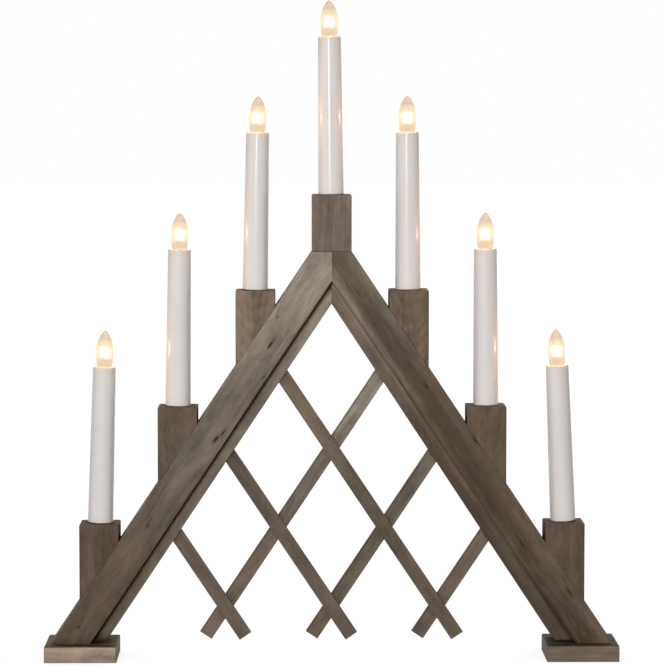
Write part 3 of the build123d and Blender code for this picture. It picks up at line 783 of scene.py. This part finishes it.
# Radius and height of points up the cap, below and above its thread
TAPER = ((0.00108, CAP_BOTTOM), (0.0027, CAP_BOTTOM), (0.0040, THREAD_LOW - 0.0003))
FLANGE = ((0.0046, 0.12992), (0.00515, 0.12994), (0.0053, 0.13009), (0.0053, 0.13075), (0.00515, CAP_TOP),
          (0.0042, CAP_TOP))

# Filament: a coil along a bow between two leads, held at its peak by the hook of a fine support
FILAMENT_SPREAD = 0.0026
FILAMENT_FOOT = TUBE_HEIGHT + 0.009
FILAMENT_PEAK = TUBE_HEIGHT + 0.0158
FILAMENT_WIRE_RADIUS = 0.00011
FILAMENT_SIDES = 6
COIL_RADIUS = 0.00036
COIL_PITCH = 0.00042
COIL_STEPS = 10
BOW_STEPS = 40
BOW_PINCH = 0.44
BOW_POWER = 1.6
LEAD_RADIUS = 0.00019
LEAD_SIDES = 8
LEAD_STEM_SPREAD = 0.00075
LEAD_BEND_SPREAD = 0.0011
SUPPORT_RADIUS = 0.0001
SUPPORT_SIDES = 6
HOOK_RADIUS = 0.0005

# The light that a bulb throws
BULB_LIGHT_RISE = 0.013
BULB_LIGHT_WATTS = 0.055
BULB_LIGHT_COLOUR = (1.0, 0.53, 0.25)
BULB_LIGHT_RADIUS = 0.003


def skin(rings, points, faces):
    """Add the points and faces of a skin over rings of equal counts, closed at both ends."""
    base = len(points)
    sides = len(rings[0])
    last = base + (len(rings) - 1) * sides
    for ring in rings:
        points.extend(ring)
    for start in range(base, last, sides):
        for k in range(sides):
            here = start + k
            beside = start + (k + 1) % sides
            faces.append((here, beside, beside + sides, here + sides))
    faces.append([base + k for k in reversed(range(sides))])
    faces.append([last + k for k in range(sides)])


def bulb_piece(name, rows, place, made, body):
    """A smooth piece that rides on a body, over rows of rings in a candle's own frame."""
    points = []
    faces = []
    for rings in rows:
        skin(rings, points, faces)
    mesh = bpy.data.meshes.new(name)
    mesh.from_pydata([place @ p for p in points], [], faces)
    mesh.update()
    mesh.shade_smooth()
    mesh.materials.append(made)
    piece = add_object(name, mesh)
    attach(piece, body)
    return piece


def carried(side, ahead):
    """A vector square to the way ahead, carried on from the last one without a twist."""
    if side is None:
        side = ahead.orthogonal()
    return (side - ahead * side.dot(ahead)).normalized()


def wire_rings(path, radius, sides):
    """Rings of a round wire along a list of points."""
    rings = []
    side = None
    for i, here in enumerate(path):
        ahead = (path[min(i + 1, len(path) - 1)] - path[max(i - 1, 0)]).normalized()
        side = carried(side, ahead)
        up = ahead.cross(side)
        turns = [tau * k / sides for k in range(sides)]
        rings.append([here + (side * cos(turn) + up * sin(turn)) * radius for turn in turns])
    return rings


def coil(route, radius, pitch):
    """Points of a coil of a radius round a route."""
    turns = sum((b - a).length for a, b in zip(route, route[1:])) / pitch
    steps = int(turns * COIL_STEPS)
    points = []
    side = None
    for step in range(steps + 1):
        way = step / steps * (len(route) - 1)
        i = min(int(way), len(route) - 2)
        here = route[i].lerp(route[i + 1], way - i)
        ahead = (route[i + 1] - route[i]).normalized()
        side = carried(side, ahead)
        up = ahead.cross(side)
        turn = tau * turns * step / steps
        points.append(here + (side * cos(turn) + up * sin(turn)) * radius)
    return points


def filament_bow():
    """The filament's route from one lead over the peak to the other, a little pinched in."""
    points = []
    rise = FILAMENT_PEAK - FILAMENT_FOOT
    for step in range(BOW_STEPS + 1):
        across = 2 * step / BOW_STEPS - 1
        x = FILAMENT_SPREAD * across * (1 - BOW_PINCH * (1 - abs(across)))
        points.append(Vector((x, 0, FILAMENT_PEAK - rise * abs(across) ** BOW_POWER)))
    return points


def lead_route(hand):
    """A lead's route from inside the glass stem to the filament's foot."""
    return [
        Vector((hand * LEAD_STEM_SPREAD, 0, STEM_TOP - 0.002)),
        Vector((hand * LEAD_STEM_SPREAD, 0, STEM_TOP + 0.0008)),
        Vector((hand * LEAD_BEND_SPREAD, 0, STEM_TOP + 0.0018)),
        Vector((hand * FILAMENT_SPREAD, 0, FILAMENT_FOOT - 0.0004)),
        Vector((hand * FILAMENT_SPREAD, 0, FILAMENT_FOOT + 0.0002)),
    ]


def support_route():
    """The support's route from inside the glass stem to its hook over the filament's peak."""
    return [
        Vector((0, 0, STEM_TOP - 0.001)),
        Vector((0, 0, FILAMENT_PEAK - 0.0004)),
        Vector((HOOK_RADIUS, 0, FILAMENT_PEAK + 0.0001)),
        Vector((0, 0, FILAMENT_PEAK + 0.0006)),
        Vector((-HOOK_RADIUS, 0, FILAMENT_PEAK + 0.0001)),
    ]


def cap_ring(radius, z, swing=0.0):
    """A ring round the cap, with as much swing in its radius as the thread has there."""
    ring = []
    for k in range(CAP_SIDES):
        turn = tau * k / CAP_SIDES
        reach = radius + swing * cos(tau * z / THREAD_PITCH - turn)
        ring.append(Vector((reach * cos(turn), reach * sin(turn), z)))
    return ring


def cap_rings():
    """Rings up the cap: the taper at its foot, the rolled thread, which fades at its ends, and the flange."""
    rings = [cap_ring(radius, z) for radius, z in TAPER]
    for row in range(THREAD_ROWS + 1):
        z = THREAD_LOW + (THREAD_HIGH - THREAD_LOW) * row / THREAD_ROWS
        depth = min(1, row / THREAD_END_ROWS, (THREAD_ROWS - row) / THREAD_END_ROWS)
        rings.append(cap_ring(THREAD_RADIUS, z, THREAD_SWING * depth))
    return rings + [cap_ring(radius, z) for radius, z in FLANGE]


def add_bulb_light(name, place):
    """The warm light from the middle of a bulb."""
    data = bpy.data.lights.new(f"bulb_light_{name}", "POINT")
    data.energy = BULB_LIGHT_WATTS
    data.color = BULB_LIGHT_COLOUR
    data.shadow_soft_size = BULB_LIGHT_RADIUS
    lamp = add_object(f"bulb_light_{name}", data)
    lamp.location = place @ Vector((0, 0, TUBE_HEIGHT + BULB_LIGHT_RISE))


def add_candle(name):
    """A candle's materials, its cap, filament, leads and support, and its light."""
    place = candle_frame(name)
    body = f"bulb_{name}"
    dress(f"candle_tube_{name}", tube_plastic(name, place))
    dress(f"bulb_glass_{name}", bulb_glass(name, place))
    dress(f"bulb_contact_{name}", SOLDER)

    cap = bulb_piece(f"cap_{name}", [cap_rings()], place, BRASS, body)
    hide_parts(f"bulb_cap_{name}")

    wound = wire_rings(coil(filament_bow(), COIL_RADIUS, COIL_PITCH), FILAMENT_WIRE_RADIUS, FILAMENT_SIDES)
    filament = bulb_piece(f"filament_{name}", [wound], place, FILAMENT, body)
    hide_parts(f"bulb_filament_{name}")

    wires = [wire_rings(lead_route(hand), LEAD_RADIUS, LEAD_SIDES) for hand in (-1, 1)]
    wires.append(wire_rings(support_route(), SUPPORT_RADIUS, SUPPORT_SIDES))
    leads = bulb_piece(f"leads_{name}", wires, place, WIRE, body)
    add_bulb_light(name, place)


for name in CANDLES:
    add_candle(name)

# Floor and world: white where they are seen directly, and a quiet light otherwise
FLOOR_CORNERS = ((-12, -8, 0), (12, -8, 0), (12, 16, 0), (-12, 16, 0))
FLOOR_COLOUR = (0.5, 0.5, 0.5, 1)
FLOOR_WHITE_SHARE = 0.94
SHADOW_REACH = 0.07
SHADOW_GLOW = 0.95
CLEAR_GLOW = 1.09
WORLD_COLOUR = (1.0, 0.97, 0.93, 1)
WORLD_STRENGTH = 0.09
WHITE = (1, 1, 1, 1)


def seen_directly(graph):
    """1 for rays from the camera, mirror reflections and rays through glass, otherwise 0."""
    path = graph.put("ShaderNodeLightPath").outputs
    direct = graph.math("MAXIMUM", path["Is Camera Ray"], path["Is Glossy Ray"])
    return graph.math("MAXIMUM", direct, path["Is Transmission Ray"])


def add_floor():
    """A white floor with a faint shadow round the feet."""
    mesh = bpy.data.meshes.new("floor")
    mesh.from_pydata(FLOOR_CORNERS, [], [(0, 1, 2, 3)])
    paper, graph = material("pale_floor")
    matt = graph.put("ShaderNodeBsdfDiffuse", {"Color": FLOOR_COLOUR}).outputs[0]
    around = graph.put("ShaderNodeAmbientOcclusion", {"Distance": SHADOW_REACH}, samples=12).outputs["AO"]
    strength = graph.span(around, 0.3, 1.0, SHADOW_GLOW, CLEAR_GLOW)
    white = graph.put("ShaderNodeEmission", {"Color": WHITE, "Strength": strength}).outputs[0]
    share = graph.math("MULTIPLY", seen_directly(graph), FLOOR_WHITE_SHARE)
    graph.surface(graph.mix_shader(share, matt, white))
    mesh.materials.append(paper)
    add_object("floor", mesh)


def add_world():
    """White behind the arch, and a faint warm light all round."""
    world = bpy.data.worlds.new("studio")
    bpy.context.scene.world = world
    world.use_nodes = True
    world.node_tree.nodes.clear()
    graph = Graph(world.node_tree)
    inputs = {"Color": WORLD_COLOUR, "Strength": WORLD_STRENGTH}
    around = graph.put("ShaderNodeBackground", inputs).outputs[0]
    white = graph.put("ShaderNodeBackground", {"Color": WHITE, "Strength": 1.0}).outputs[0]
    mixed = graph.mix_shader(seen_directly(graph), around, white)
    graph.put("ShaderNodeOutputWorld", {"Surface": mixed})


# Lamps: the point that they face, and their colours
TARGET = Vector((0, 0, 0.27))
WARM_LIGHT = (1.0, 0.985, 0.965)
COOL_LIGHT = (0.98, 0.99, 1.0)
PLAIN_LIGHT = (1.0, 1.0, 1.0)


def area_light(name, azimuth, elevation, distance, size, watts, tint, diffuse=True, glossy=True,
               through=True):
    """A soft lamp of a width and height that faces the arch. Azimuth is from the front towards the right."""
    data = bpy.data.lights.new(name, "AREA")
    data.shape = "RECTANGLE"
    data.size, data.size_y = size
    data.energy = watts
    data.color = tint
    lamp = add_object(name, data)
    round_by = radians(azimuth)
    up_by = radians(elevation)
    away = Vector((sin(round_by) * cos(up_by), -cos(round_by) * cos(up_by), sin(up_by)))
    lamp.location = TARGET + away * distance
    lamp.rotation_euler = away.to_track_quat("Z", "Y").to_euler()
    lamp.visible_camera = False
    lamp.visible_diffuse = diffuse
    lamp.visible_glossy = glossy
    lamp.visible_transmission = through


add_floor()
add_world()
area_light("key", azimuth=-4, elevation=10.8, distance=3.4, size=(0.4, 0.4), watts=76, tint=WARM_LIGHT,
           glossy=False, through=False)
area_light("strip", azimuth=-10, elevation=7.9, distance=1.9, size=(0.05, 0.12), watts=5.5, tint=PLAIN_LIGHT,
           diffuse=False, through=False)
area_light("fill_left", azimuth=-62, elevation=10, distance=3.0, size=(0.7, 1.1), watts=11, tint=COOL_LIGHT,
           glossy=False)
area_light("top", azimuth=-20, elevation=68, distance=1.4, size=(0.8, 0.8), watts=0.4, tint=PLAIN_LIGHT)
area_light("back", azimuth=163, elevation=1, distance=3.4, size=(0.9, 0.4), watts=68, tint=WARM_LIGHT,
           glossy=False, through=False)
